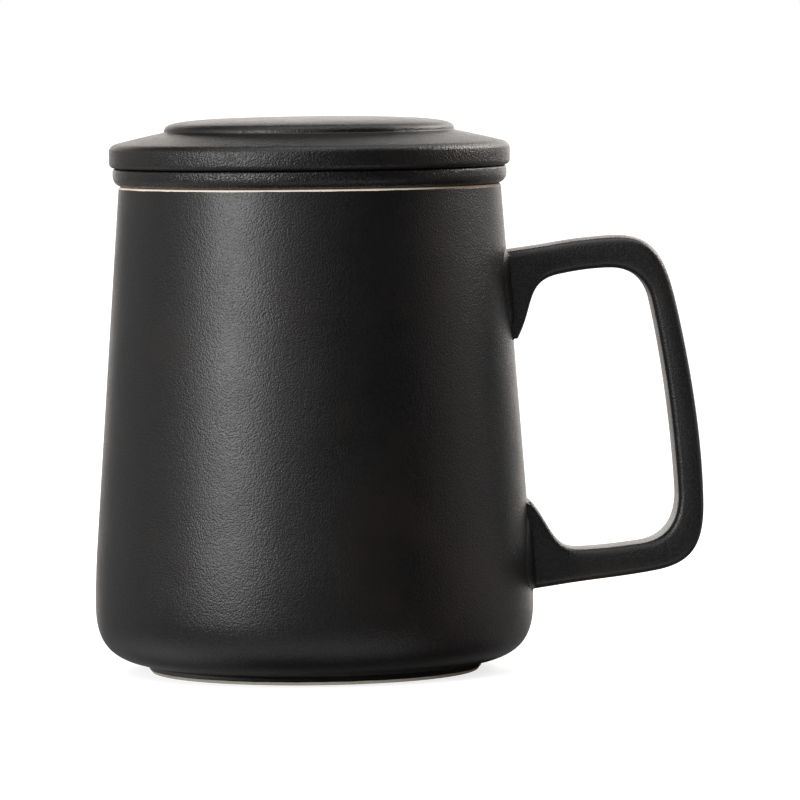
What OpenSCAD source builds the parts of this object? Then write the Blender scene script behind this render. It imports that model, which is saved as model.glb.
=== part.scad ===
// Lidded tea mug with a drop-in ceramic infuser.
// The mug stands on its foot ring at z = 0, its axis is the Z axis and its
// handle points along +X. The infuser hangs by its flange on the bare rim of
// the mug, and the lid sits on that flange with its ring in the infuser's mouth.
// All sizes are in millimetres.

/* [Mug body] */
// Height of the bare rim above the table
rim_z = 105.3; // [100:0.1:112]
// Outer diameter at the rim
rim_d = 82.8; // [80:0.1:84]
// Largest diameter, low on the belly
belly_d = 95; // [92:0.1:98]
// Height at which the belly is widest
belly_z = 14.5; // [12:0.5:17]
// Outer diameter of the foot ring
foot_d = 71; // [66:0.5:73]
// Width of the flat resting face of the foot ring
foot_w = 3.2; // [2.5:0.1:5]
// Height of the hollow inside the foot ring
foot_hollow = 1.8; // [1:0.1:2.5]
// Thickness of the wall
wall = 4; // [3.4:0.1:4.4]
// Thickness of the floor
floor_t = 3.8; // [3:0.1:6]

/* [Handle] */
// Reach of the handle from the axis of the mug
handle_reach = 84.7; // [80:0.1:92]
// Height of the handle's middle, measured on its grip
handle_mid_z = 58; // [56:0.5:60]
// Width of the handle, seen from above
handle_w = 13.5; // [10:0.5:16]
// Width that each root gains on either side where it runs out over the body
root_flare = 5.2; // [3:0.1:7]
// How far each root stands off the wall at the handle's faces
root_lift = 0.7; // [0.4:0.1:1.2]
// Radius of the long edges of the handle
handle_edge = 1.7; // [1:0.1:2.6]

/* [Infuser] */
// Diameter of the flange that rests on the rim
flange_d = 85.3; // [84:0.1:90]
// Thickness of the flange
flange_t = 3.9; // [3.4:0.1:5]
// Depth of the basket below the rim
basket_depth = 62; // [48:1:76]
// Outer diameter of the basket at its floor
basket_d = 58.8; // [54:0.2:62]
// Thickness of the basket's wall
basket_wall = 3; // [2.4:0.1:3.6]
// Gap all round between the basket and the mouth of the mug
mouth_gap = 0.6; // [0.4:0.1:1]
// Diameter of each perforation
hole_d = 2.2; // [1.6:0.1:3]
// Rings of holes round the middle hole of the floor
floor_rings = 3; // [1:1:3]
// Rows of holes round the lower wall
wall_rows = 4; // [1:1:5]
// Holes in each row of the wall
row_holes = 20; // [12:2:24]

/* [Lid] */
// Diameter of the lid
lid_d = 86.8; // [85:0.1:92]
// Height of the lid above the flange
lid_h = 10.8; // [10:0.1:13]
// Diameter of the raised plateau
plateau_d = 62.8; // [54:0.1:66]
// Length of the ring that drops into the infuser's mouth
ring_depth = 5; // [3:0.5:8]
// Gap all round between the lid's ring and the infuser's mouth
lid_gap = 0.5; // [0.3:0.1:0.9]

/* [Hidden] */
black_glaze = [0.13, 0.13, 0.135];
lid_glaze = [0.17, 0.17, 0.175];

belly_r = belly_d / 2;
rim_r = rim_d / 2;
foot_r = foot_d / 2;
rim_round = 0.6;
cone_z = 28;
cone_r = belly_r - 0.55;
rim_in = rim_r - wall;
floor_z = foot_hollow + floor_t;

flange_r = flange_d / 2;
flange_z = rim_z + flange_t;
bowl_out = rim_in - mouth_gap;
bowl_in = bowl_out - basket_wall;
bowl_z = rim_z - basket_depth;
bowl_floor_t = 3.5;
taper = (bowl_out - basket_d / 2) / basket_depth;

lid_r = lid_d / 2;
plateau_r = plateau_d / 2;
lid_top = flange_z + lid_h;
ring_out = bowl_in - lid_gap;
ring_in = ring_out - 3.2;

// --- curves -------------------------------------------------------------
// Point at t on the cubic curve with end points a, d and handles b, c.
function bez(a, b, c, d, t) =
    pow(1 - t, 3) * a + 3 * t * pow(1 - t, 2) * b + 3 * t * t * (1 - t) * c + pow(t, 3) * d;
// Points on that curve, without its first one.
function curve(a, b, c, d, n) = [for (i = [1:n]) bez(a, b, c, d, i / n)];
// Points on an arc about c from angle p to angle q, both ends included.
function arc(c, r, p, q, n) =
    [for (i = [0:n]) let (g = p + (q - p) * i / n) c + r * [cos(g), sin(g)]];

// --- mug body -----------------------------------------------------------
// Outside of the body from the edge of the foot ring to the edge of the rim.
function body_outside() =
    let (s = [foot_r + 0.9, 1.9],
         m = [belly_r, belly_z],
         e = [cone_r, cone_z],
         r = [rim_r, rim_z - rim_round],
         k = [belly_r, cone_z - (belly_r - cone_r) * (r[1] - cone_z) / (cone_r - rim_r)])
    concat(
        [[foot_r - 0.3, 0], [foot_r, 0.3], [foot_r + 0.5, 0.95], s],
        curve(s, s + 6.9 * [cos(8.4), sin(8.4)], m - [0, 9.1], m, 14),
        curve(m, m + (k - m) * 2 / 3, e + (k - e) * 2 / 3, e, 6),
        arc([rim_r - rim_round, rim_z - rim_round], rim_round, 0, 90, 5));

module mug_body() {
    w = [rim_in + (cone_r - rim_r), cone_z];
    b = [belly_r - wall - 0.1, belly_z + 4];
    f = [belly_r - wall - 13.5, floor_z];
    h = foot_r - 0.3 - foot_w;
    color(black_glaze)
        rotate_extrude($fn = 144) polygon(concat(
            body_outside(),
            arc([rim_in + rim_round, rim_z - rim_round], rim_round, 90, 180, 5),
            [w],
            curve(w, w + [0.25, -3.5], b + [0, 3], b, 4),
            curve(b, b - [0, 10], f + [9.5, 0], f, 12),
            [[0, floor_z], [0, foot_hollow]],
            [[h - 1.6, foot_hollow], [h - 0.5, foot_hollow * 0.6], [h, 0]]));
}

// --- handle -------------------------------------------------------------
// The loop is drawn in the XZ plane by its outer and inner outlines. Both are
// seven curves that pair up: upper root, top bar, upper corner, grip, lower
// corner, lower bar and lower root.
OUTER = [
    [[42.0, 90.7], [46.0, 91.2], [49.1, 91.6], [52.1, 92.1]],
    [[52.1, 92.1], [56.1, 92.8], [60.7, 93.3], [64.7, 93.5]],
    [[64.7, 93.5], [73.8, 93.9], [76.3, 90.2], [78.8, 80.1]],
    [[78.8, 80.1], [82.1, 65.6], [84.5, 50.0], [84.7, 36.0]],
    [[84.7, 36.0], [84.85, 25.8], [81.8, 22.1], [74.0, 20.7]],
    [[74.0, 20.7], [68.0, 19.6], [62.0, 19.1], [56.0, 18.3]],
    [[56.0, 18.3], [52.5, 17.8], [49.5, 17.2], [46.0, 16.6]]];
INNER = [
    [[43.6, 70.2], [48.6, 78.2], [45.6, 84.0], [53.8, 85.5]],
    [[53.8, 85.5], [57.3, 86.2], [61.0, 86.7], [64.5, 86.7]],
    [[64.5, 86.7], [69.5, 86.7], [72.4, 84.0], [73.5, 80.0]],
    [[73.5, 80.0], [76.6, 66.0], [78.4, 50.0], [79.0, 37.5]],
    [[79.0, 37.5], [79.0, 31.6], [76.5, 27.7], [71.0, 26.9]],
    [[71.0, 26.9], [66.5, 26.3], [61.9, 25.75], [57.4, 25.7]],
    [[57.4, 25.7], [51.4, 25.6], [50.5, 33.2], [46.4, 36.8]]];
STEPS = [9, 4, 9, 8, 9, 4, 9];

// Moves an outline point with the reach and the height of the handle.
function placed(p) = [
    belly_r + (p[0] - 47.5) * (p[0] > 47.5 ? (handle_reach - belly_r) / 37.2 : 1),
    p[1] + handle_mid_z - 58];
// One outline as a list of points.
function outline(c) = concat(
    [placed(c[0][0]) - [4, 0]], [placed(c[0][0])],
    [for (s = [0:6], i = [1:STEPS[s]]) placed(bez(c[s][0], c[s][1], c[s][2], c[s][3], i / STEPS[s]))],
    [placed(c[6][3]) - [4, 0]]);
// One ring of the loop between two outline points: a rectangle with rounded corners.
RING = 6;
function ring(o, q) =
    let (hw = handle_w / 2,
         m = (o + q) / 2, a = norm(o - q) / 2, u = (o - q) / norm(o - q),
         e = min(handle_edge, a * 0.9))
    [for (k = [0:3], i = [0:RING - 1])
        let (g = 90 * k + 90 * i / (RING - 1),
             sx = (k == 0 || k == 3) ? 1 : -1, sy = k < 2 ? 1 : -1,
             y = sx * (hw - e) + e * cos(g), t = sy * (a - e) + e * sin(g))
        [m[0] + u[0] * t, y, m[1] + u[1] * t]];

module loop_solid() {
    o = outline(OUTER);
    q = outline(INNER);
    n = len(o);
    c = 4 * RING;
    pts = [for (i = [0:n - 1]) each ring(o[i], q[i])];
    sides = [for (i = [0:n - 2], j = [0:c - 1])
        let (a = i * c + j, b = i * c + (j + 1) % c)
        each [[a, b + c, b], [a, a + c, b + c]]];
    polyhedron(pts, concat(
        [[for (j = [0:c - 1]) j]],
        sides,
        [[for (j = [c - 1:-1:0]) (n - 1) * c + j]]), convexity = 6);
}

// Half of each root's outline on the wall, as [y, z]. The inner ends are blunt.
UPPER_ROOT = [[6.4, 71.8], [8.2, 74], [9.6, 76], [11.1, 80], [11.8, 85], [11.3, 88], [9.8, 90.1], [7.4, 91]];
LOWER_ROOT = [[8, 17], [11.5, 18.4], [13, 20.8], [13, 24.2], [11.4, 28.4], [9, 32.5], [6.4, 35.9]];

// A root's outline as a prism that reaches from inside the wall to well outside it.
module root_prism(half) {
    wide = (handle_w / 2 + root_flare) / 11.95;
    side = [for (p = half) [p[1] + handle_mid_z - 58, p[0] * wide]];
    n = len(side);
    translate([rim_in - 3, 0, 0])
        rotate([0, -90, 0])
            translate([0, 0, -18])
                linear_extrude(18)
                    polygon(concat(side, [for (i = [n - 1:-1:0]) [side[i][0], -side[i][1]]]));
}

// The roots run out over the body in a low swelling, root_lift high at the
// handle's faces. Its skin is the body stretched along X and squeezed along Y,
// so that the two skins cross a little way outside the edge of the root.
module roots() {
    w0 = handle_w / 2;
    w1 = w0 + root_flare + 1.2;
    r = belly_r - 4;
    x0 = sqrt(r * r - w0 * w0) + root_lift;
    x1 = sqrt(r * r - w1 * w1);
    det = x0 * x0 * w1 * w1 - x1 * x1 * w0 * w0;
    sx = sqrt(det / (w1 * w1 - w0 * w0)) / r;
    sy = sqrt(det / (x0 * x0 - x1 * x1)) / r;
    intersection() {
        scale([sx, sy, 1])
            rotate_extrude($fn = 144)
                polygon(concat(body_outside(), [[0, rim_z], [0, 0]]));
        union() {
            root_prism(UPPER_ROOT);
            root_prism(LOWER_ROOT);
        }
    }
}

module handle() {
    color(black_glaze)
        difference() {
            union() {
                loop_solid();
                roots();
            }
            rotate_extrude($fn = 144)
                polygon(concat(body_outside(), [[0, rim_z], [0, 0]]));
        }
}

// --- infuser ------------------------------------------------------------
// Radius of the outside of the basket at the height z.
function bowl_r(z) = basket_d / 2 + taper * (z - bowl_z);

module infuser_shell() {
    rb = 7;
    ri = 5;
    fz = bowl_z + bowl_floor_t;
    a = [bowl_r(bowl_z) - rb, bowl_z];
    b = [bowl_r(bowl_z + rb), bowl_z + rb];
    c = [bowl_r(fz + ri) - basket_wall, fz + ri];
    d = [bowl_r(fz) - basket_wall - ri, fz];
    rotate_extrude($fn = 144) polygon(concat(
        [[0, bowl_z], a],
        curve(a, a + [rb * 0.56, 0], b - [taper, 1] * rb * 0.56, b, 8),
        [[bowl_out, rim_z]],
        arc([flange_r - 2.3, rim_z + 2.3], 2.3, -90, 0, 8),
        arc([flange_r - 0.6, flange_z - 0.6], 0.6, 0, 90, 4),
        arc([bowl_in + 0.8, flange_z - 0.8], 0.8, 90, 180, 4),
        [[bowl_in, rim_z]],
        [c],
        curve(c, c - [taper, 1] * ri * 0.56, d + [ri * 0.56, 0], d, 6),
        [[0, fz]]));
}

module infuser() {
    color(black_glaze)
        difference() {
            infuser_shell();
            // Holes in the floor: one in the middle, and rings of six, twelve and eighteen.
            for (k = [0:floor_rings])
                for (i = [0:max(0, 6 * k - 1)])
                    rotate(k == 0 ? 0 : 60 / k * i)
                        translate([6.4 * k, 0, bowl_z - 1])
                            cylinder(h = bowl_floor_t + 2, d = hole_d, $fn = 24);
            // Rows of holes round the lower wall, each turned by half a step.
            for (k = [0:wall_rows - 1])
                for (i = [0:row_holes - 1])
                    rotate((i + 0.5 * (k % 2)) * 360 / row_holes)
                        translate([bowl_r(bowl_z) - 7, 0, bowl_z + 12 + 6.5 * k])
                            rotate([0, 90, 0])
                                cylinder(h = 12, d = hole_d, $fn = 24);
        }
}

// --- lid ----------------------------------------------------------------
module lid() {
    side = [lid_r, flange_z + 3.75];
    shoulder = [lid_r - 1.55, flange_z + 5.36];
    neck = [plateau_r + 0.6, lid_top - 3.2];
    bead = [plateau_r, lid_top - 2.75];
    brow = [plateau_r - 1.05, lid_top - 1.44];
    seat = min(flange_r - 2.8, lid_r - 2);
    dish = [ring_in - 6, lid_top - 5.5];
    lip = [ring_in, flange_z + 0.5];
    color(lid_glaze)
        rotate_extrude($fn = 144) polygon(concat(
            // Underside: shallow dish, ring, seat on the flange and raised outer edge.
            [[0, dish[1]], dish],
            curve(dish, dish + [4.5, 0], lip + [0, 3], lip, 8),
            arc([ring_in + 0.8, flange_z - ring_depth + 0.8], 0.8, 180, 270, 4),
            arc([ring_out - 1, flange_z - ring_depth + 1], 1, 270, 360, 4),
            [[ring_out, flange_z], [seat, flange_z], [seat + 0.5, flange_z + 0.1]],
            arc([lid_r - 1.2, flange_z + 1.3], 1.2, -90, 0, 6),
            // Side, shoulder and slope up to the plateau.
            curve(side, side + [0, 0.7], shoulder + [0.85, -0.21], shoulder, 7),
            curve(shoulder, shoulder + [-2.95, 0.76], neck + [2.95, -0.59], neck, 6),
            curve(neck, neck + [-0.35, 0.07], bead + [0.02, -0.3], bead, 4),
            // Rounded edge of the plateau and its gentle dome.
            curve(bead, bead + [-0.02, 0.7], brow + [0.55, -0.3], brow, 6),
            curve(brow, [plateau_r - 4.5, lid_top - 0.24], [plateau_r - 14.5, lid_top], [0, lid_top], 14)));
}

mug_body();
handle();
infuser();
lid();
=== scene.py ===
import math

import bpy
import bmesh
from mathutils import Matrix, Vector


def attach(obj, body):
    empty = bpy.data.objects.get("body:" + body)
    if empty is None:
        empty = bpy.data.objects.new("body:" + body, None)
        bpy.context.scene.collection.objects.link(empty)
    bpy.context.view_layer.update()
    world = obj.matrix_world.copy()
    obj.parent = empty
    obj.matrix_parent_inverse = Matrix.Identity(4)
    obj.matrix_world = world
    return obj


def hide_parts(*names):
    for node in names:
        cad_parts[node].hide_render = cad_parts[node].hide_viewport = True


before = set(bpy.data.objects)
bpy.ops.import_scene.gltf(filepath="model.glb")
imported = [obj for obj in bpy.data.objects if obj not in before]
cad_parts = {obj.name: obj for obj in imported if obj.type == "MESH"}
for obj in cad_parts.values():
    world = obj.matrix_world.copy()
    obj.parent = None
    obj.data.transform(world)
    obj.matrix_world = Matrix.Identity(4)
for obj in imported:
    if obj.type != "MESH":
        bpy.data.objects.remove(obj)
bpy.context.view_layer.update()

scene = bpy.context.scene
MM = 0.001

# ---------------------------------------------------------------- sizes, mm
RIM_Z, RIM_R = 105.3, 41.4
BELLY_R, BELLY_Z = 47.5, 14.5
FOOT_R, FOOT_W, FOOT_HOLLOW = 35.5, 3.2, 1.8
WALL, FLOOR_T = 4.0, 3.8
CONE_Z, CONE_R = 28.0, 46.95
FLANGE_R, FLANGE_Z = 42.65, 109.2
BOWL_DEPTH, BASKET_R = 62.0, 29.4
BOWL_OUT, BOWL_IN = 36.8, 33.8
BOWL_Z = RIM_Z - BOWL_DEPTH
TAPER = (BOWL_OUT - BASKET_R) / BOWL_DEPTH
LID_R, LID_TOP = 43.4, 120.0
PLATEAU_R = 31.4
RING_OUT = BOWL_IN - 0.5
RING_IN = RING_OUT - 3.2
RING_DEPTH = 5.0


# ---------------------------------------------------------------- curves
def bez(a, b, c, d, t):
    k = 1 - t
    return tuple(k**3 * p + 3 * t * k * k * q + 3 * t * t * k * r + t**3 * s
                 for p, q, r, s in zip(a, b, c, d))


def curve(a, b, c, d, n):
    return [bez(a, b, c, d, i / n) for i in range(1, n + 1)]


def arc(c, r, p, q, n):
    out = []
    for i in range(n + 1):
        g = math.radians(p + (q - p) * i / n)
        out.append((c[0] + r * math.cos(g), c[1] + r * math.sin(g)))
    return out


def refine(pts, step):
    """Adds points on the straight stretches of a profile, so that no face is longer than step."""
    out = [pts[0]]
    for a, b in zip(pts, pts[1:]):
        n = max(1, math.ceil(math.dist(a, b) / step))
        out += [(a[0] + (b[0] - a[0]) * i / n, a[1] + (b[1] - a[1]) * i / n) for i in range(1, n + 1)]
    return out


def outside_radius(z):
    """Outer radius of the mug's wall above the belly."""
    return CONE_R - (z - CONE_Z) * (CONE_R - RIM_R) / (RIM_Z - 0.6 - CONE_Z)


# ---------------------------------------------------------------- meshes
def finish_mesh(name, bm, body, node, mats):
    me = bpy.data.meshes.new(name)
    bm.normal_update()
    bm.to_mesh(me)
    bm.free()
    for p in me.polygons:
        p.use_smooth = True
    ob = bpy.data.objects.new(name, me)
    scene.collection.objects.link(ob)
    for m in mats:
        me.materials.append(m)
    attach(ob, body)
    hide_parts(node)
    return ob


def lathe(profile, n):
    """A solid of revolution from an (r, z) profile in mm whose first and last points are on the axis or the same point."""
    bm = bmesh.new()
    rings = []
    for r, z in profile:
        if r < 1e-6:
            rings.append([bm.verts.new((0, 0, z * MM))])
        else:
            rings.append([bm.verts.new((r * MM * math.cos(2 * math.pi * i / n),
                                        r * MM * math.sin(2 * math.pi * i / n), z * MM)) for i in range(n)])
    for a, b in zip(rings, rings[1:]):
        for i in range(n):
            j = (i + 1) % n
            if len(a) == 1 and len(b) == 1:
                continue
            if len(a) == 1:
                bm.faces.new((a[0], b[j], b[i]))
            elif len(b) == 1:
                bm.faces.new((a[i], a[j], b[0]))
            else:
                bm.faces.new((a[i], a[j], b[j], b[i]))
    bmesh.ops.recalc_face_normals(bm, faces=bm.faces)
    return bm


# ---------------------------------------------------------------- materials
def new_material(name):
    m = bpy.data.materials.new(name)
    m.use_nodes = True
    nt = m.node_tree
    nt.nodes.clear()
    return m, nt


def node(nt, kind, **values):
    n = nt.nodes.new(kind)
    for k, v in values.items():
        if k in ("inputs",):
            for s, x in v.items():
                n.inputs[s].default_value = x
        else:
            setattr(n, k, v)
    return n


def math_node(nt, op, a, b=None, c=None, clamp=False):
    n = nt.nodes.new("ShaderNodeMath")
    n.operation = op
    n.use_clamp = clamp
    for i, v in enumerate((a, b, c)):
        if v is None:
            continue
        if isinstance(v, (int, float)):
            n.inputs[i].default_value = v
        else:
            nt.links.new(v, n.inputs[i])
    return n.outputs[0]


def ramp_between(nt, value, lo, hi):
    """0 below lo, 1 above hi, smooth between."""
    n = nt.nodes.new("ShaderNodeMapRange")
    n.interpolation_type = "SMOOTHSTEP"
    n.inputs["From Min"].default_value = lo
    n.inputs["From Max"].default_value = hi
    nt.links.new(value, n.inputs["Value"])
    return n.outputs["Result"]


GLAZE = dict(base=(0.0028, 0.0027, 0.0027), rough=0.36, grain=1.0)


def glaze_material(name, clay_where=None, base=GLAZE["base"], rough=GLAZE["rough"], grain=GLAZE["grain"]):
    """Matte black glaze with a fine orange-peel grain. clay_where(nt, z, r) gives 1 where the clay is bare."""
    m, nt = new_material(name)
    out = node(nt, "ShaderNodeOutputMaterial")
    tc = node(nt, "ShaderNodeTexCoord")
    obj = tc.outputs["Object"]

    # Grain: soft pebbles under half a millimetre across, broken up by finer noise and by patches where the glaze ran
    # smoother.
    warp = node(nt, "ShaderNodeTexNoise", inputs={"Scale": 900.0, "Detail": 1.0})
    nt.links.new(obj, warp.inputs["Vector"])
    wadd = node(nt, "ShaderNodeVectorMath", operation="MULTIPLY_ADD")
    nt.links.new(warp.outputs["Color"], wadd.inputs[0])
    wadd.inputs[1].default_value = (0.0006, 0.0006, 0.0006)
    nt.links.new(obj, wadd.inputs[2])
    pebble = node(nt, "ShaderNodeTexVoronoi", feature="SMOOTH_F1", inputs={"Scale": 2600.0, "Smoothness": 0.45})
    nt.links.new(wadd.outputs[0], pebble.inputs["Vector"])
    fine = node(nt, "ShaderNodeTexNoise", inputs={"Scale": 3600.0, "Detail": 2.0, "Roughness": 0.55})
    nt.links.new(obj, fine.inputs["Vector"])
    broad = node(nt, "ShaderNodeTexNoise", inputs={"Scale": 120.0, "Detail": 2.0, "Roughness": 0.5})
    nt.links.new(obj, broad.inputs["Vector"])
    height = math_node(nt, "MULTIPLY_ADD", pebble.outputs["Distance"], -0.9, 0.0)
    height = math_node(nt, "MULTIPLY_ADD", fine.outputs["Fac"], 0.55, height)
    amount = ramp_between(nt, broad.outputs["Fac"], 0.25, 0.75)
    amount = math_node(nt, "MULTIPLY_ADD", amount, 0.35, 0.8)
    height = math_node(nt, "MULTIPLY", height, amount)
    bump = node(nt, "ShaderNodeBump", inputs={"Strength": 1.0, "Distance": 0.000055 * grain})
    nt.links.new(height, bump.inputs["Height"])
    # Slow waves of the glaze's thickness, a few millimetres across.
    wave = node(nt, "ShaderNodeTexNoise", inputs={"Scale": 160.0, "Detail": 3.0, "Roughness": 0.5})
    nt.links.new(obj, wave.inputs["Vector"])
    bump2 = node(nt, "ShaderNodeBump", inputs={"Strength": 1.0, "Distance": 0.00003})
    nt.links.new(wave.outputs["Fac"], bump2.inputs["Height"])
    nt.links.new(bump.outputs["Normal"], bump2.inputs["Normal"])

    tone = node(nt, "ShaderNodeTexNoise", inputs={"Scale": 70.0, "Detail": 4.0, "Roughness": 0.6})
    nt.links.new(obj, tone.inputs["Vector"])
    cmix = node(nt, "ShaderNodeMix", data_type="RGBA")
    nt.links.new(tone.outputs["Fac"], cmix.inputs["Factor"])
    cmix.inputs[6].default_value = (*[c * 0.8 for c in base], 1)
    cmix.inputs[7].default_value = (*[c * 1.25 for c in base], 1)
    # Fine speckle, so that the glaze isn't even where no light is mirrored either.
    dots = node(nt, "ShaderNodeTexNoise", inputs={"Scale": 2100.0, "Detail": 2.0, "Roughness": 0.6})
    nt.links.new(obj, dots.inputs["Vector"])
    speckle = node(nt, "ShaderNodeMix", data_type="RGBA")
    nt.links.new(ramp_between(nt, dots.outputs["Fac"], 0.36, 0.64), speckle.inputs["Factor"])
    speckle.inputs[6].default_value = (*[c * 0.6 for c in base], 1)
    speckle.inputs[7].default_value = (*[c * 1.5 for c in base], 1)
    blend = node(nt, "ShaderNodeMix", data_type="RGBA", inputs={"Factor": 0.7})
    nt.links.new(cmix.outputs[2], blend.inputs[6])
    nt.links.new(speckle.outputs[2], blend.inputs[7])
    # The glaze breaks to a faint brown in patches.
    patch = node(nt, "ShaderNodeTexNoise", inputs={"Scale": 26.0, "Detail": 3.0, "Roughness": 0.55})
    nt.links.new(obj, patch.inputs["Vector"])
    breaks = node(nt, "ShaderNodeMix", data_type="RGBA")
    nt.links.new(ramp_between(nt, patch.outputs["Fac"], 0.5, 0.72), breaks.inputs["Factor"])
    nt.links.new(blend.outputs[2], breaks.inputs[6])
    breaks.inputs[7].default_value = (base[0] * 2.1, base[1] * 1.5, base[2] * 1.2, 1)
    rvar = node(nt, "ShaderNodeMapRange", inputs={"From Min": 0.3, "From Max": 0.7, "To Min": rough - 0.03, "To Max": rough + 0.04})
    nt.links.new(tone.outputs["Fac"], rvar.inputs["Value"])

    glaze = node(nt, "ShaderNodeBsdfPrincipled", inputs={"IOR": 1.5, "Specular IOR Level": 0.5})
    nt.links.new(breaks.outputs[2], glaze.inputs["Base Color"])
    nt.links.new(rvar.outputs["Result"], glaze.inputs["Roughness"])
    nt.links.new(bump2.outputs["Normal"], glaze.inputs["Normal"])
    if clay_where is None:
        nt.links.new(glaze.outputs[0], out.inputs["Surface"])
        return m

    sep = node(nt, "ShaderNodeSeparateXYZ")
    nt.links.new(obj, sep.inputs[0])
    r2 = math_node(nt, "MULTIPLY", sep.outputs[0], sep.outputs[0])
    r2 = math_node(nt, "MULTIPLY_ADD", sep.outputs[1], sep.outputs[1], r2)
    radius = math_node(nt, "SQRT", r2)
    # The glaze's edge wanders by about a tenth of a millimetre.
    edge = node(nt, "ShaderNodeTexNoise", inputs={"Scale": 260.0, "Detail": 3.0, "Roughness": 0.6})
    nt.links.new(obj, edge.inputs["Vector"])
    shift = math_node(nt, "MULTIPLY_ADD", edge.outputs["Fac"], 0.0003, -0.00015)
    z = math_node(nt, "ADD", sep.outputs[2], shift)
    mask = clay_where(nt, z, radius)

    speck = node(nt, "ShaderNodeTexNoise", inputs={"Scale": 1800.0, "Detail": 3.0, "Roughness": 0.7})
    nt.links.new(obj, speck.inputs["Vector"])
    body = node(nt, "ShaderNodeTexNoise", inputs={"Scale": 90.0, "Detail": 3.0, "Roughness": 0.6})
    nt.links.new(obj, body.inputs["Vector"])
    ramp = node(nt, "ShaderNodeValToRGB")
    ramp.color_ramp.elements[0].position = 0.3
    ramp.color_ramp.elements[0].color = (0.50, 0.43, 0.34, 1)
    ramp.color_ramp.elements[1].position = 0.75
    ramp.color_ramp.elements[1].color = (0.70, 0.63, 0.53, 1)
    mixf = math_node(nt, "MULTIPLY_ADD", speck.outputs["Fac"], 0.5, 0.0)
    mixf = math_node(nt, "MULTIPLY_ADD", body.outputs["Fac"], 0.5, mixf)
    nt.links.new(mixf, ramp.inputs["Fac"])
    cbump = node(nt, "ShaderNodeBump", inputs={"Strength": 1.0, "Distance": 0.00006})
    nt.links.new(speck.outputs["Fac"], cbump.inputs["Height"])
    clay = node(nt, "ShaderNodeBsdfPrincipled", inputs={"Roughness": 0.85, "IOR": 1.45, "Specular IOR Level": 0.35})
    # Painted shade: the bare clay is darker and browner towards the handle's side, away from the key light.
    brown = node(nt, "ShaderNodeMix", data_type="RGBA", blend_type="MULTIPLY")
    nt.links.new(ramp_between(nt, sep.outputs[0], 0.006, 0.034), brown.inputs["Factor"])
    nt.links.new(ramp.outputs["Color"], brown.inputs[6])
    brown.inputs[7].default_value = (0.30, 0.25, 0.20, 1)
    # Painted shade: the bare clay is darker and greyer at the foot, next to the table, where the mug's shade falls.
    foot_clay_shade = node(nt, "ShaderNodeMix", data_type="RGBA", blend_type="MULTIPLY")
    low = math_node(nt, "SUBTRACT", 1.0, ramp_between(nt, sep.outputs[2], 0.004, 0.012))
    nt.links.new(low, foot_clay_shade.inputs["Factor"])
    nt.links.new(brown.outputs[2], foot_clay_shade.inputs[6])
    foot_clay_shade.inputs[7].default_value = (0.42, 0.45, 0.46, 1)
    nt.links.new(foot_clay_shade.outputs[2], clay.inputs["Base Color"])
    nt.links.new(cbump.outputs["Normal"], clay.inputs["Normal"])
    mix = node(nt, "ShaderNodeMixShader")
    nt.links.new(mask, mix.inputs["Fac"])
    nt.links.new(glaze.outputs[0], mix.inputs[1])
    nt.links.new(clay.outputs[0], mix.inputs[2])
    nt.links.new(mix.outputs[0], out.inputs["Surface"])
    return m


def body_clay(nt, z, r):
    rim = ramp_between(nt, z, 0.10484, 0.10491)
    foot = math_node(nt, "SUBTRACT", 1.0, ramp_between(nt, z, 0.00070, 0.00078))
    foot = math_node(nt, "MULTIPLY", foot, ramp_between(nt, r, 0.0314, 0.0316))
    return math_node(nt, "MAXIMUM", rim, foot)


def infuser_clay(nt, z, r):
    low = math_node(nt, "SUBTRACT", 1.0, ramp_between(nt, z, BOWL_Z * MM + 0.0002, BOWL_Z * MM + 0.0003))
    return math_node(nt, "MULTIPLY", low, ramp_between(nt, r, 0.0205, 0.0207))


def lid_clay(nt, z, r):
    low = math_node(nt, "SUBTRACT", 1.0, ramp_between(nt, z, 0.10475, 0.10485))
    return math_node(nt, "MULTIPLY", low, ramp_between(nt, r, 0.0295, 0.0297))


body_mat = glaze_material("matte_black_glaze_body", body_clay)
# Painted light: the handle's glaze gets about twice the body's base colour, standing in for the extra light its faces
# catch.
handle_mat = glaze_material("matte_black_glaze_handle", base=(0.0058, 0.0056, 0.0056))
infuser_mat = glaze_material("matte_black_glaze_infuser", infuser_clay, rough=0.28, grain=2.0)
lid_mat = glaze_material("matte_black_glaze_lid", lid_clay, rough=0.34, grain=1.85)


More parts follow.
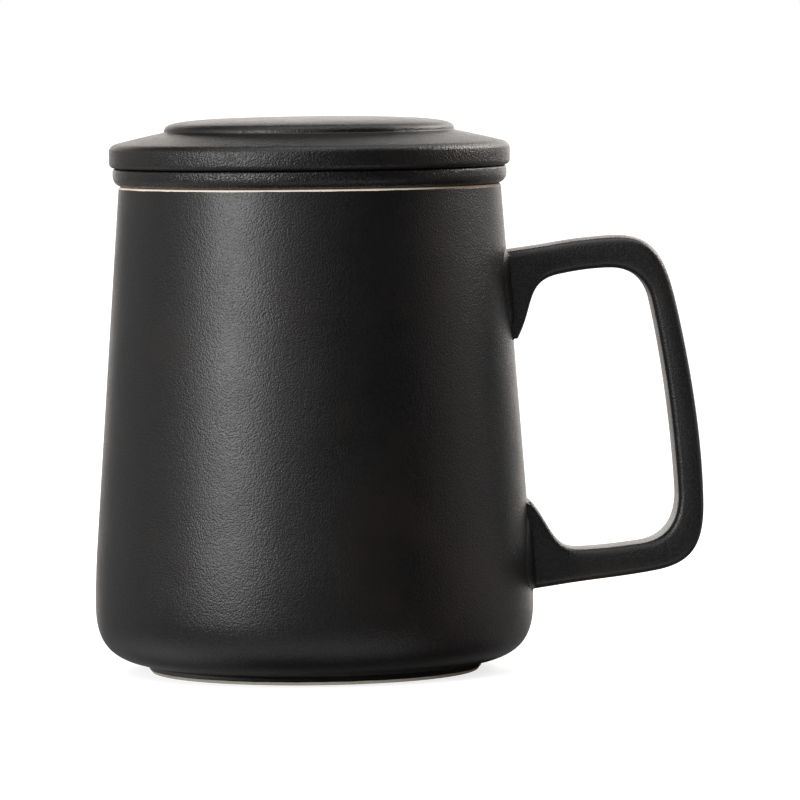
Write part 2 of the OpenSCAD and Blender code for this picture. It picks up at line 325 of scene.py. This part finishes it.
# ---------------------------------------------------------------- mug body
def body_profile():
    s = (FOOT_R + 0.9, 1.9)
    m = (BELLY_R, BELLY_Z)
    e = (CONE_R, CONE_Z)
    r = (RIM_R, RIM_Z - 0.6)
    k = (BELLY_R, CONE_Z - (BELLY_R - CONE_R) * (r[1] - CONE_Z) / (CONE_R - RIM_R))
    h = FOOT_R - 0.3 - FOOT_W
    w = (RIM_R - WALL + (CONE_R - RIM_R), CONE_Z)
    b = (BELLY_R - WALL - 0.1, BELLY_Z + 4)
    floor_z = FOOT_HOLLOW + FLOOR_T
    f = (BELLY_R - WALL - 13.5, floor_z)
    up = 1 / 3
    pts = [(0, FOOT_HOLLOW), (h - 2.4, FOOT_HOLLOW)]
    pts += curve(pts[-1], (h - 1.2, FOOT_HOLLOW), (h - 0.5, FOOT_HOLLOW * 0.8), (h - 0.25, 0.5), 8)
    pts += curve(pts[-1], (h - 0.15, 0.2), (h - 0.05, 0.0), (h + 0.25, 0.0), 4)
    pts += [(FOOT_R - 0.45, 0.0)]
    pts += curve(pts[-1], (FOOT_R - 0.15, 0.0), (FOOT_R, 0.12), (FOOT_R + 0.08, 0.35), 4)
    pts += [(FOOT_R + 0.22, 0.66)]
    # The glaze ends in a soft lip just above the bare foot.
    pts += [(FOOT_R + 0.30, 0.69), (FOOT_R + 0.42, 0.74), (FOOT_R + 0.50, 0.84), (FOOT_R + 0.53, 0.97)]
    pts += [(FOOT_R + 0.62, 1.25)]
    under = curve(s, (s[0] + 6.9 * math.cos(math.radians(8.4)), s[1] + 6.9 * math.sin(math.radians(8.4))),
                  (m[0], m[1] - 9.1), m, 48)
    pts += curve(pts[-1], (s[0] - 0.07, s[1] - 0.22), (s[0] + 0.03, s[1] - 0.02), under[1], 6)
    pts += under[2:]
    pts += curve(m, tuple(m[i] + (k[i] - m[i]) * 2 * up for i in (0, 1)),
                 tuple(e[i] + (k[i] - e[i]) * 2 * up for i in (0, 1)), e, 14)
    pts += [(outside_radius(RIM_Z - 0.70), RIM_Z - 0.70)]
    # The glaze ends in a soft lip just under the bare rim.
    pts += [(RIM_R + 0.0, RIM_Z - 0.56), (RIM_R - 0.02, RIM_Z - 0.48), (RIM_R - 0.10, RIM_Z - 0.44)]
    pts += [(RIM_R - 0.12, RIM_Z - 0.40)]
    pts += arc((RIM_R - 0.50, RIM_Z - 0.38), 0.38, 0, 90, 6)
    pts += arc((RIM_R - WALL + 0.6, RIM_Z - 0.6), 0.6, 90, 180, 6)
    pts += [(RIM_R - WALL + 0.02, RIM_Z - 0.9), w]
    pts += curve(w, (w[0] + 0.25, w[1] - 3.5), (b[0], b[1] + 3), b, 8)
    pts += curve(b, (b[0], b[1] - 10), (f[0] + 9.5, f[1]), f, 28)
    pts += [(0, floor_z)]
    return refine(pts, 2.5)


mug = finish_mesh("mug_body_glazed", lathe(body_profile(), 384), "mug", "mug_body", [body_mat])


# ---------------------------------------------------------------- handle
OUTER = [
    [(42.0, 90.7), (46.0, 91.2), (49.1, 91.6), (52.1, 92.1)],
    [(52.1, 92.1), (56.1, 92.8), (60.7, 93.3), (64.7, 93.5)],
    [(64.7, 93.5), (73.8, 93.9), (76.3, 90.2), (78.8, 80.1)],
    [(78.8, 80.1), (82.1, 65.6), (84.5, 50.0), (84.7, 36.0)],
    [(84.7, 36.0), (84.85, 25.8), (81.8, 22.1), (74.0, 20.7)],
    [(74.0, 20.7), (68.0, 19.6), (62.0, 19.1), (56.0, 18.3)],
    [(56.0, 18.3), (52.5, 17.8), (49.5, 17.35), (46.0, 16.85)]]
INNER = [
    [(43.6, 70.2), (48.6, 78.2), (45.6, 84.0), (53.8, 85.5)],
    [(53.8, 85.5), (57.3, 86.2), (61.0, 86.7), (64.5, 86.7)],
    [(64.5, 86.7), (69.5, 86.7), (72.4, 84.0), (73.5, 80.0)],
    [(73.5, 80.0), (76.6, 66.0), (78.4, 50.0), (79.0, 37.5)],
    [(79.0, 37.5), (79.0, 31.6), (76.5, 27.7), (71.0, 26.9)],
    [(71.0, 26.9), (66.5, 26.3), (61.9, 25.75), (57.4, 25.7)],
    [(57.4, 25.7), (51.4, 25.6), (50.5, 33.2), (46.4, 36.8)]]
STEPS = [28, 10, 26, 24, 26, 10, 28]
HANDLE_W, EDGE = 13.5, 1.65
CROWN = 0.36                       # of the loop's outer face
# Half of each root's outline on the wall, as (y, z), from its blunt inner end to its outer end.
UPPER_ROOT = [(0.0, 72.8), (5.2, 72.8), (6.8, 73.4), (8.2, 74.6), (9.6, 76.0), (11.1, 80.0), (11.8, 85.0),
              (11.3, 88.0), (9.8, 90.1), (7.4, 91.0), (0.0, 91.1)]
LOWER_ROOT = [(0.0, 35.1), (5.2, 35.1), (6.8, 34.4), (9.0, 32.0), (11.4, 28.4), (13.0, 24.2), (13.0, 20.8),
              (11.5, 18.4), (8.0, 16.9), (0.0, 16.7)]


def outline(c):
    pts = [(c[0][0][0] - 2.0, c[0][0][1]), c[0][0]]
    for s in range(7):
        pts += curve(*c[s], STEPS[s])
    return pts + [(c[6][3][0] - 2.0, c[6][3][1])]


def sink(sy):
    """How much lower the long edges of the outer face lie than its crowned middle."""
    return CROWN - 0.10 if sy > 0 else 0.0


def section(a, hw, e):
    """Points (y, t) round the handle's section with their outward directions. t runs from the inner to the outer face."""
    out = []
    corner, flat_y, flat_t = 9, 7, 17
    for k in range(4):
        sx = 1 if k in (0, 3) else -1
        sy = 1 if k < 2 else -1
        for j in range(corner):
            g = math.radians(90 * k + 90 * j / (corner - 1))
            out.append((sx * (hw - e) + e * math.cos(g), sy * (a - e) - sink(sy) + e * math.sin(g),
                        math.cos(g), math.sin(g)))
        n = flat_y if k % 2 == 0 else flat_t
        y0, t0, ny, nt_ = out[-1]
        k2 = (k + 1) % 4
        g = math.radians(90 * (k + 1))
        sx = 1 if k2 in (0, 3) else -1
        sy = 1 if k2 < 2 else -1
        y1, t1 = sx * (hw - e) + e * math.cos(g), sy * (a - e) - sink(sy) + e * math.sin(g)
        crown = 0.10 if k else CROWN
        for j in range(1, n):
            w = j / n
            bulge = crown * (1 - (2 * w - 1) ** 2)
            out.append((y0 + (y1 - y0) * w + ny * bulge, t0 + (t1 - t0) * w + nt_ * bulge, ny, nt_))
    return out


def stand_off(p):
    """Distance of a point from the mug's outer wall, positive outside."""
    r = outside_radius(p.z) if p.z > CONE_Z else BELLY_R - 0.55 * ((p.z - BELLY_Z) / (CONE_Z - BELLY_Z)) ** 2
    return math.hypot(p.x, p.y) - r


def on_wall(p, depth):
    """The point moved level to depth below the mug's outer wall."""
    h = math.hypot(p.x, p.y)
    k = (h - stand_off(p) - depth) / h
    return Vector((p.x * k, p.y * k, p.z))


def to_edge(p, out, half):
    """How far it is from p in the direction out to a root's outline, both seen along X."""
    ring = half + [(-y, z) for y, z in half[::-1]]
    best = None
    for (ay, az_), (by, bz) in zip(ring, ring[1:] + ring[:1]):
        ey, ez = by - ay, bz - az_
        det = ey * out.z - ez * out.y
        if abs(det) < 1e-9:
            continue
        t = (ey * (az_ - p.z) - ez * (ay - p.y)) / det
        w = (out.y * (az_ - p.z) - out.z * (ay - p.y)) / det
        if t > 0 and -1e-6 <= w <= 1 + 1e-6 and (best is None or t < best):
            best = t
    return best if best is not None else 0.15


def rooted(line, out, inner, outer, half):
    """Ends one line of the handle's surface in a root that runs out level over the mug's wall.

    line runs towards the wall, and out is the line's outward direction there. inner and outer say how far the line
    lies on the loop's inner and outer face, and half is the root's outline."""
    side = 1.0 - inner**2 - outer**2
    reach = 1.05 * side + 0.92 * inner**2 + 0.42 * outer**2
    k = next((i for i, p in enumerate(line) if stand_off(p) < reach), len(line) - 1)
    p, q = line[k - 1], line[k]
    a = p.lerp(q, (stand_off(p) - reach) / (stand_off(p) - stand_off(q)))
    n = Vector((a.x, a.y, 0)).normalized()
    # The inner end is blunt: there the line turns straight to the wall.
    along = ((q - p).normalized() * (1 - inner**2) - n * inner**2).normalized()
    c = a.copy()
    for _ in range(60):
        d = stand_off(c)
        if abs(d) < 1e-4:
            break
        n = Vector((c.x, c.y, 0)).normalized()
        c += along * min(4.0, d / max(0.3, -along.dot(n)))
    c = on_wall(c, 0.0)
    n = Vector((c.x, c.y, 0)).normalized()
    out = (out - n * out.dot(n)).normalized()
    far = max(0.12, to_edge(c, out, half))
    b = on_wall(c + out * far, 0.0)
    # The fillet as (share of the way out over the wall, share of the reach): first a small round, then a low slope.
    low = 0.62 * min(1.0, max(0.0, (far - 0.5) / 2.5)) + 0.06
    s1 = min(0.5, 0.75 / far)
    first = [bez((0.0, 1.0), (0.0, (1 + low) / 2), (s1 * 0.25, low * 1.04), (s1, low), i / 8) for i in range(9)]
    rest = [(s1 + (1 - s1) * w, low * (1 - w**1.15)) for w in (i / 8 for i in range(1, 9))]
    pts = [on_wall(c.lerp(b, s), 0.0) + (a - c) * h for s, h in first + rest]
    # The slope runs on a little way under the wall, so that its edge catches no light.
    pts.append(on_wall(b + out * 0.30, 0.05))
    pts.append(on_wall(b + out * 0.45, 0.35))
    pts.append(on_wall(b + out * 0.10, 1.5))
    return k, pts


def resample(pts, n):
    """n points at even steps along a polyline, from its first point up to just before its last."""
    acc = [0.0]
    for a, b in zip(pts, pts[1:]):
        acc.append(acc[-1] + (b - a).length)
    out = []
    for i in range(n):
        d = acc[-1] * i / n
        k = next(x for x in range(len(acc) - 1) if acc[x + 1] >= d or x == len(acc) - 2)
        w = (d - acc[k]) / max(1e-9, acc[k + 1] - acc[k])
        out.append(pts[k].lerp(pts[k + 1], w))
    return out


def handle_bmesh():
    bm = bmesh.new()
    rings, outs = [], []
    for o, i in zip(outline(OUTER), outline(INNER)):
        o, i = Vector(o), Vector(i)
        m, a, u = (o + i) / 2, (o - i).length / 2, (o - i).normalized()
        sec = section(a, HANDLE_W / 2, EDGE)
        rings.append([Vector((m.x + u.x * t, y, m.y + u.y * t)) for y, t, _, _ in sec])
        outs.append([Vector((u.x * nt_, ny, u.y * nt_)) for _, _, ny, nt_ in sec])
    n = len(rings[0])
    half = len(rings) // 2
    ends = []
    for j in range(n):
        line = [r[j] for r in rings]
        pair = []
        for part, out in ((line[:half][::-1], outs[1][j]), (line[half:], outs[-2][j])):
            top = part[-1].z > 50
            face = out.z if top else -out.z
            pair.append(rooted(part, out, max(0.0, -face), max(0.0, face), UPPER_ROOT if top else LOWER_ROOT))
        (k0, up), (k1, low) = pair
        ends.append((line, half - k0, up[::-1], half + k1, low))
    m0 = max(e[1] for e in ends) + 6
    m1 = min(e[3] for e in ends) - 6
    table = []
    for line, k0, up, k1, low in ends:
        first = resample([up[-1]] + line[k0:m0 + 1], 12)
        last = resample(line[m1:k1] + [low[0]], 12)
        table.append(up[:-1] + first + line[m0:m1] + last + low)
    count = len(table[0])
    verts = [[bm.verts.new(tuple(c * MM for c in p)) for p in line] for line in table]
    for j in range(n):
        k = (j + 1) % n
        for i in range(count - 1):
            bm.faces.new((verts[j][i], verts[k][i], verts[k][i + 1], verts[j][i + 1]))
    bm.faces.new([v[0] for v in verts])
    bm.faces.new([v[-1] for v in verts])
    bmesh.ops.recalc_face_normals(bm, faces=bm.faces)
    return bm


handle = finish_mesh("handle_glazed", handle_bmesh(), "mug", "handle", [handle_mat])


# ---------------------------------------------------------------- infuser
def bowl_r(z):
    return BASKET_R + TAPER * (z - BOWL_Z)


def infuser_profile():
    rb, ri = 7.0, 5.0
    fz = BOWL_Z + 3.5
    a = (bowl_r(BOWL_Z) - rb, BOWL_Z)
    b = (bowl_r(BOWL_Z + rb), BOWL_Z + rb)
    c = (bowl_r(fz + ri) - 3, fz + ri)
    d = (bowl_r(fz) - 3 - ri, fz)
    pts = [(0, BOWL_Z), a]
    pts += curve(a, (a[0] + rb * 0.56, a[1]), (b[0] - TAPER * rb * 0.56, b[1] - rb * 0.56), b, 16)
    pts += [(BOWL_OUT - 0.06, RIM_Z - 0.5)]
    pts += curve(pts[-1], (BOWL_OUT, RIM_Z - 0.15), (BOWL_OUT + 0.15, RIM_Z), (BOWL_OUT + 0.5, RIM_Z), 4)
    pts += arc((FLANGE_R - 2.3, RIM_Z + 2.3), 2.3, -90, 0, 14)
    pts += arc((FLANGE_R - 0.6, FLANGE_Z - 0.6), 0.6, 0, 90, 6)
    pts += arc((BOWL_IN + 0.8, FLANGE_Z - 0.8), 0.8, 90, 180, 8)
    pts += [(BOWL_IN, RIM_Z + 0.3), (BOWL_IN - TAPER * 1.2, RIM_Z - 1.2), c]
    pts += curve(c, (c[0] - TAPER * ri * 0.56, c[1] - ri * 0.56), (d[0] + ri * 0.56, d[1]), d, 12)
    pts += [(0, fz)]
    return refine(pts, 2.5)


def spool(at, direction, lo, hi, r, flare=0.35):
    """A hole's cutter along direction, wider at both surfaces so that the glaze's edge is soft."""
    bm = bmesh.new()
    n = 24
    rows = [(lo - 2.0, r + flare), (lo - 0.02, r + flare), (lo + 0.12, r + flare * 0.45), (lo + 0.40, r),
            (hi - 0.40, r), (hi - 0.12, r + flare * 0.45), (hi + 0.02, r + flare), (hi + 2.0, r + flare)]
    rot = Vector((0, 0, 1)).rotation_difference(Vector(direction)).to_matrix()
    rings = [[bm.verts.new((Vector(at) + rot @ Vector((q * math.cos(2 * math.pi * i / n),
                                                       q * math.sin(2 * math.pi * i / n), h))) * MM)
              for i in range(n)] for h, q in rows]
    for a, b in zip(rings, rings[1:]):
        for i in range(n):
            j = (i + 1) % n
            bm.faces.new((a[i], a[j], b[j], b[i]))
    bm.faces.new(rings[0])
    bm.faces.new(rings[-1])
    bmesh.ops.recalc_face_normals(bm, faces=bm.faces)
    return bm


def holes_mesh():
    whole = bmesh.new()
    bits = []
    for k in range(4):
        for i in range(max(1, 6 * k)):
            g = math.radians(60 / k * i) if k else 0.0
            at = (6.4 * k * math.cos(g), 6.4 * k * math.sin(g), 0)
            bits.append(spool(at, (0, 0, 1), BOWL_Z, BOWL_Z + 3.5, 1.1))
    for k in range(4):
        z = BOWL_Z + 12 + 6.5 * k
        for i in range(20):
            g = math.radians((i + 0.5 * (k % 2)) * 18)
            d = (math.cos(g), math.sin(g), 0)
            bits.append(spool((0, 0, z), d, bowl_r(z) - 3, bowl_r(z), 1.1))
    for b in bits:
        me = bpy.data.meshes.new("bit")
        b.to_mesh(me)
        b.free()
        whole.from_mesh(me)
        bpy.data.meshes.remove(me)
    return whole


infuser = finish_mesh("infuser_glazed", lathe(infuser_profile(), 300), "infuser", "infuser", [infuser_mat])
cut_me = bpy.data.meshes.new("cutters")
cb = holes_mesh()
cb.to_mesh(cut_me)
cb.free()
cutter = bpy.data.objects.new("cutters", cut_me)
scene.collection.objects.link(cutter)
mod = infuser.modifiers.new("holes", "BOOLEAN")
mod.operation = "DIFFERENCE"
mod.solver = "EXACT"
mod.object = cutter
deps = bpy.context.evaluated_depsgraph_get()
cut = bpy.data.meshes.new_from_object(infuser.evaluated_get(deps), depsgraph=deps)
infuser.modifiers.clear()
old = infuser.data
infuser.data = cut
bpy.data.meshes.remove(old)
bpy.data.objects.remove(cutter)
bpy.data.meshes.remove(cut_me)
for p in infuser.data.polygons:
    p.use_smooth = True


# ---------------------------------------------------------------- lid
def lid_profile():
    fz = FLANGE_Z
    side = (LID_R, fz + 3.75)
    shoulder = (LID_R - 1.55, fz + 5.36)
    neck = (PLATEAU_R + 0.6, LID_TOP - 3.2)
    bead = (PLATEAU_R, LID_TOP - 2.75)
    brow = (PLATEAU_R - 1.05, LID_TOP - 1.44)
    seat = FLANGE_R - 2.8
    dish = (RING_IN - 6, LID_TOP - 5.5)
    lip = (RING_IN, fz + 0.5)
    pts = [(0, dish[1]), dish]
    pts += curve(dish, (dish[0] + 4.5, dish[1]), (lip[0], lip[1] + 3), lip, 16)
    pts += arc((RING_IN + 0.8, fz - RING_DEPTH + 0.8), 0.8, 180, 270, 6)
    pts += arc((RING_OUT - 1, fz - RING_DEPTH + 1), 1.0, 270, 360, 6)
    pts += [(RING_OUT, fz - 0.3), (RING_OUT + 0.1, fz - 0.06), (RING_OUT + 0.35, fz)]
    pts += [(seat, fz), (seat + 0.25, fz + 0.03), (seat + 0.5, fz + 0.1)]
    pts += arc((LID_R - 1.2, fz + 1.3), 1.2, -90, 0, 12)
    pts += curve(side, (side[0], side[1] + 0.7), (shoulder[0] + 0.85, shoulder[1] - 0.21), shoulder, 14)
    pts += curve(shoulder, (shoulder[0] - 2.95, shoulder[1] + 0.76), (neck[0] + 2.95, neck[1] - 0.59), neck, 12)
    pts += curve(neck, (neck[0] - 0.35, neck[1] + 0.07), (bead[0] + 0.02, bead[1] - 0.3), bead, 7)
    pts += curve(bead, (bead[0] - 0.02, bead[1] + 0.7), (brow[0] + 0.55, brow[1] - 0.3), brow, 12)
    pts += curve(brow, (PLATEAU_R - 4.5, LID_TOP - 0.24), (PLATEAU_R - 14.5, LID_TOP), (0, LID_TOP), 30)
    return refine(pts, 2.0)


lid = finish_mesh("lid_glazed", lathe(lid_profile(), 384), "lid", "lid", [lid_mat])

# ---------------------------------------------------------------- camera
CAM_AZ = -2.0                      # the handle points slightly away from the camera
DIST, HIGH = 1.4455, 0.14215
PITCH, YAW, ROLL = math.radians(3.316), math.radians(0.754), math.radians(0.63)
az = math.radians(CAM_AZ)
place = Vector((math.sin(az) * DIST, -math.cos(az) * DIST, HIGH))
turn = Matrix.Rotation(az, 3, "Z")
f = turn @ Vector((math.sin(YAW) * math.cos(PITCH), math.cos(YAW) * math.cos(PITCH), -math.sin(PITCH)))
r = f.cross(Vector((0, 0, 1))).normalized()
u = r.cross(f)
r2 = r * math.cos(ROLL) - u * math.sin(ROLL)
u2 = r * math.sin(ROLL) + u * math.cos(ROLL)
cam_data = bpy.data.cameras.new("camera")
cam_data.sensor_width = 36.0
cam_data.lens = 6678.0 / 800.0 * 36.0
cam_data.clip_start, cam_data.clip_end = 0.05, 50.0
cam = bpy.data.objects.new("camera", cam_data)
scene.collection.objects.link(cam)
cam.matrix_world = Matrix(((r2.x, u2.x, -f.x, place.x), (r2.y, u2.y, -f.y, place.y),
                           (r2.z, u2.z, -f.z, place.z), (0, 0, 0, 1)))
scene.camera = cam

# ---------------------------------------------------------------- stage
fm, nt = new_material("pale_floor")
out = node(nt, "ShaderNodeOutputMaterial")
# A lit table: it glows a little, so that the mug leaves almost no shadow on it.
bs = node(nt, "ShaderNodeBsdfPrincipled", inputs={"Base Color": (0.6, 0.6, 0.6, 1), "Roughness": 0.9,
                                                  "Specular IOR Level": 0.0, "Emission Color": (1, 1, 1, 1),
                                                  "Emission Strength": 0.72})
nt.links.new(bs.outputs[0], out.inputs["Surface"])
fme = bpy.data.meshes.new("floor")
S = 12.0
fme.from_pydata([(-S, -S, 0), (S, -S, 0), (S, S, 0), (-S, S, 0)], [], [(0, 1, 2, 3)])
fme.materials.append(fm)
floor = bpy.data.objects.new("floor", fme)
scene.collection.objects.link(floor)
floor.visible_glossy = False

# The mug's own shade on the table, which only its glaze sees.
sm, nt = new_material("table_in_shade")
out = node(nt, "ShaderNodeOutputMaterial")
bs = node(nt, "ShaderNodeBsdfDiffuse", inputs={"Color": (0.01, 0.01, 0.01, 1)})
nt.links.new(bs.outputs[0], out.inputs["Surface"])
sme = bpy.data.meshes.new("shade")
ring = [(0.003 + 0.0385 * math.cos(math.radians(a)), 0.0385 * math.sin(math.radians(a)), 0.00002)
        for a in range(0, 360, 5)]
sme.from_pydata(ring, [], [tuple(range(len(ring)))])
sme.materials.append(sm)
shade = bpy.data.objects.new("shade", sme)
scene.collection.objects.link(shade)
shade.visible_camera = shade.visible_diffuse = shade.visible_transmission = False
shade.visible_volume_scatter = shade.visible_shadow = False

# ---------------------------------------------------------------- light
scene.view_settings.view_transform = "Standard"
scene.view_settings.look = "None"

world = bpy.data.worlds.new("studio")
scene.world = world
world.use_nodes = True
nt = world.node_tree
nt.nodes.clear()
wtc = node(nt, "ShaderNodeTexCoord")
wsep = node(nt, "ShaderNodeSeparateXYZ")
nt.links.new(wtc.outputs["Generated"], wsep.inputs[0])
# Directions in degrees: azimuth 0 is on the camera's side and 90 on the handle's.
towards = math_node(nt, "MULTIPLY", wsep.outputs[1], -1.0)
azimuth = math_node(nt, "MULTIPLY", math_node(nt, "ARCTAN2", wsep.outputs[0], towards), 180.0 / math.pi)
elevation = math_node(nt, "MULTIPLY", math_node(nt, "ARCSINE", wsep.outputs[2]), 180.0 / math.pi)


def fade(value, half, soft):
    """1 where value is under half, falling smoothly to 0 over soft."""
    n = node(nt, "ShaderNodeMapRange", interpolation_type="SMOOTHSTEP",
             inputs={"From Min": half, "From Max": half + soft, "To Min": 1.0, "To Max": 0.0})
    nt.links.new(value, n.inputs["Value"])
    return n.outputs["Result"]


def window(az, half_w, soft_w, el, half_h, soft_h, strength):
    """A soft-edged patch of light in the studio's walls, ceiling or table."""
    v = fade(math_node(nt, "ABSOLUTE", math_node(nt, "SUBTRACT", elevation, el)), half_h, soft_h)
    if half_w < 180:
        d = math_node(nt, "MODULO", math_node(nt, "ADD", azimuth, 540.0 - az), 360.0)
        d = math_node(nt, "ABSOLUTE", math_node(nt, "SUBTRACT", d, 180.0))
        v = math_node(nt, "MULTIPLY", v, fade(d, half_w, soft_w))
    return math_node(nt, "MULTIPLY", v, strength)


WINDOWS = [
    (180, 93, 30, 14, 8, 12, 0.46),  # white wall behind and to both sides
    (180, 70, 40, -14, 8, 10, 0.27),  # far end of the table
    (180, 180, 10, 90, 17, 20, 1.78),  # overhead
    (134, 14.5, 25, 40.6, 12, 20, 1.05),  # high on the right, behind
    (-38, 72, 42, -42, 8, 18, 0.70),  # table in front
    (-152, 50, 40, -44, 8, 16, 0.16),  # table behind
    (-42, 28, 30, 35.5, 15, 20, 1.29),  # high on the left, in front
    (-100, 15, 25, 5, 20, 20, 0.07),  # left
]
WARM = [
    (174, 14, 20, 8, 8, 12, 1.84),  # brightest part of the wall behind
]
BROWN = [
    (85, 10, 16, 0, 30, 20, 0.08),  # wood on the right
]
wcol = None
for windows, tint in ((WINDOWS, (1.0, 0.99, 0.985)), (WARM, (1.0, 0.93, 0.87)), (BROWN, (1.0, 0.5, 0.4))):
    total = 0.0
    for w in windows:
        total = math_node(nt, "ADD", window(*w), total)
    part = node(nt, "ShaderNodeVectorMath", operation="SCALE")
    part.inputs[0].default_value = tint
    nt.links.new(total, part.inputs["Scale"])
    if wcol is None:
        wcol = part
    else:
        both = node(nt, "ShaderNodeVectorMath", operation="ADD")
        nt.links.new(wcol.outputs[0], both.inputs[0])
        nt.links.new(part.outputs[0], both.inputs[1])
        wcol = both

# What is seen in the glaze is the studio. The camera sees its white backdrop, and the table gets its even light.
wout = node(nt, "ShaderNodeOutputWorld")
studio = node(nt, "ShaderNodeBackground", inputs={"Strength": 1.0})
nt.links.new(wcol.outputs[0], studio.inputs["Color"])
backdrop = node(nt, "ShaderNodeBackground", inputs={"Color": (1, 1, 1, 1), "Strength": 1.0})
even = node(nt, "ShaderNodeBackground", inputs={"Color": (1, 1, 1, 1), "Strength": 1.15})
lp = node(nt, "ShaderNodeLightPath")
first = node(nt, "ShaderNodeMixShader")
nt.links.new(lp.outputs["Is Camera Ray"], first.inputs["Fac"])
nt.links.new(even.outputs[0], first.inputs[1])
nt.links.new(backdrop.outputs[0], first.inputs[2])
second = node(nt, "ShaderNodeMixShader")
nt.links.new(lp.outputs["Is Glossy Ray"], second.inputs["Fac"])
nt.links.new(first.outputs[0], second.inputs[1])
nt.links.new(studio.outputs[0], second.inputs[2])
nt.links.new(second.outputs[0], wout.inputs["Surface"])
world.cycles.sampling_method = "NONE"


def softbox(name, azimuth, distance, height, width, tall, power, aim=None, color=(1, 1, 1)):
    """A soft light that faces the mug's axis, level or towards the height aim, its middle at the given height."""
    a = math.radians(azimuth)
    place = Vector((math.sin(a) * distance, -math.cos(a) * distance, height))
    data = bpy.data.lights.new(name, "AREA")
    data.shape = "RECTANGLE"
    data.size, data.size_y = width, tall
    data.energy = power
    data.color = color
    ob = bpy.data.objects.new(name, data)
    ob.location = place
    ob.rotation_mode = "QUATERNION"
    drop = 0 if aim is None else aim - place.z
    ob.rotation_quaternion = Vector((-place.x, -place.y, drop)).to_track_quat("-Z", "Y")
    ob.visible_camera = False
    scene.collection.objects.link(ob)
    return ob


softbox("key_left", -47.2, 0.718, 0.225, 0.30, 0.363, 3.10, color=(0.975, 0.98, 1.0))
softbox("rim_right", 117.1, 0.44, 0.327, 0.192, 0.245, 1.6, aim=0.10, color=(1.0, 0.94, 0.88))
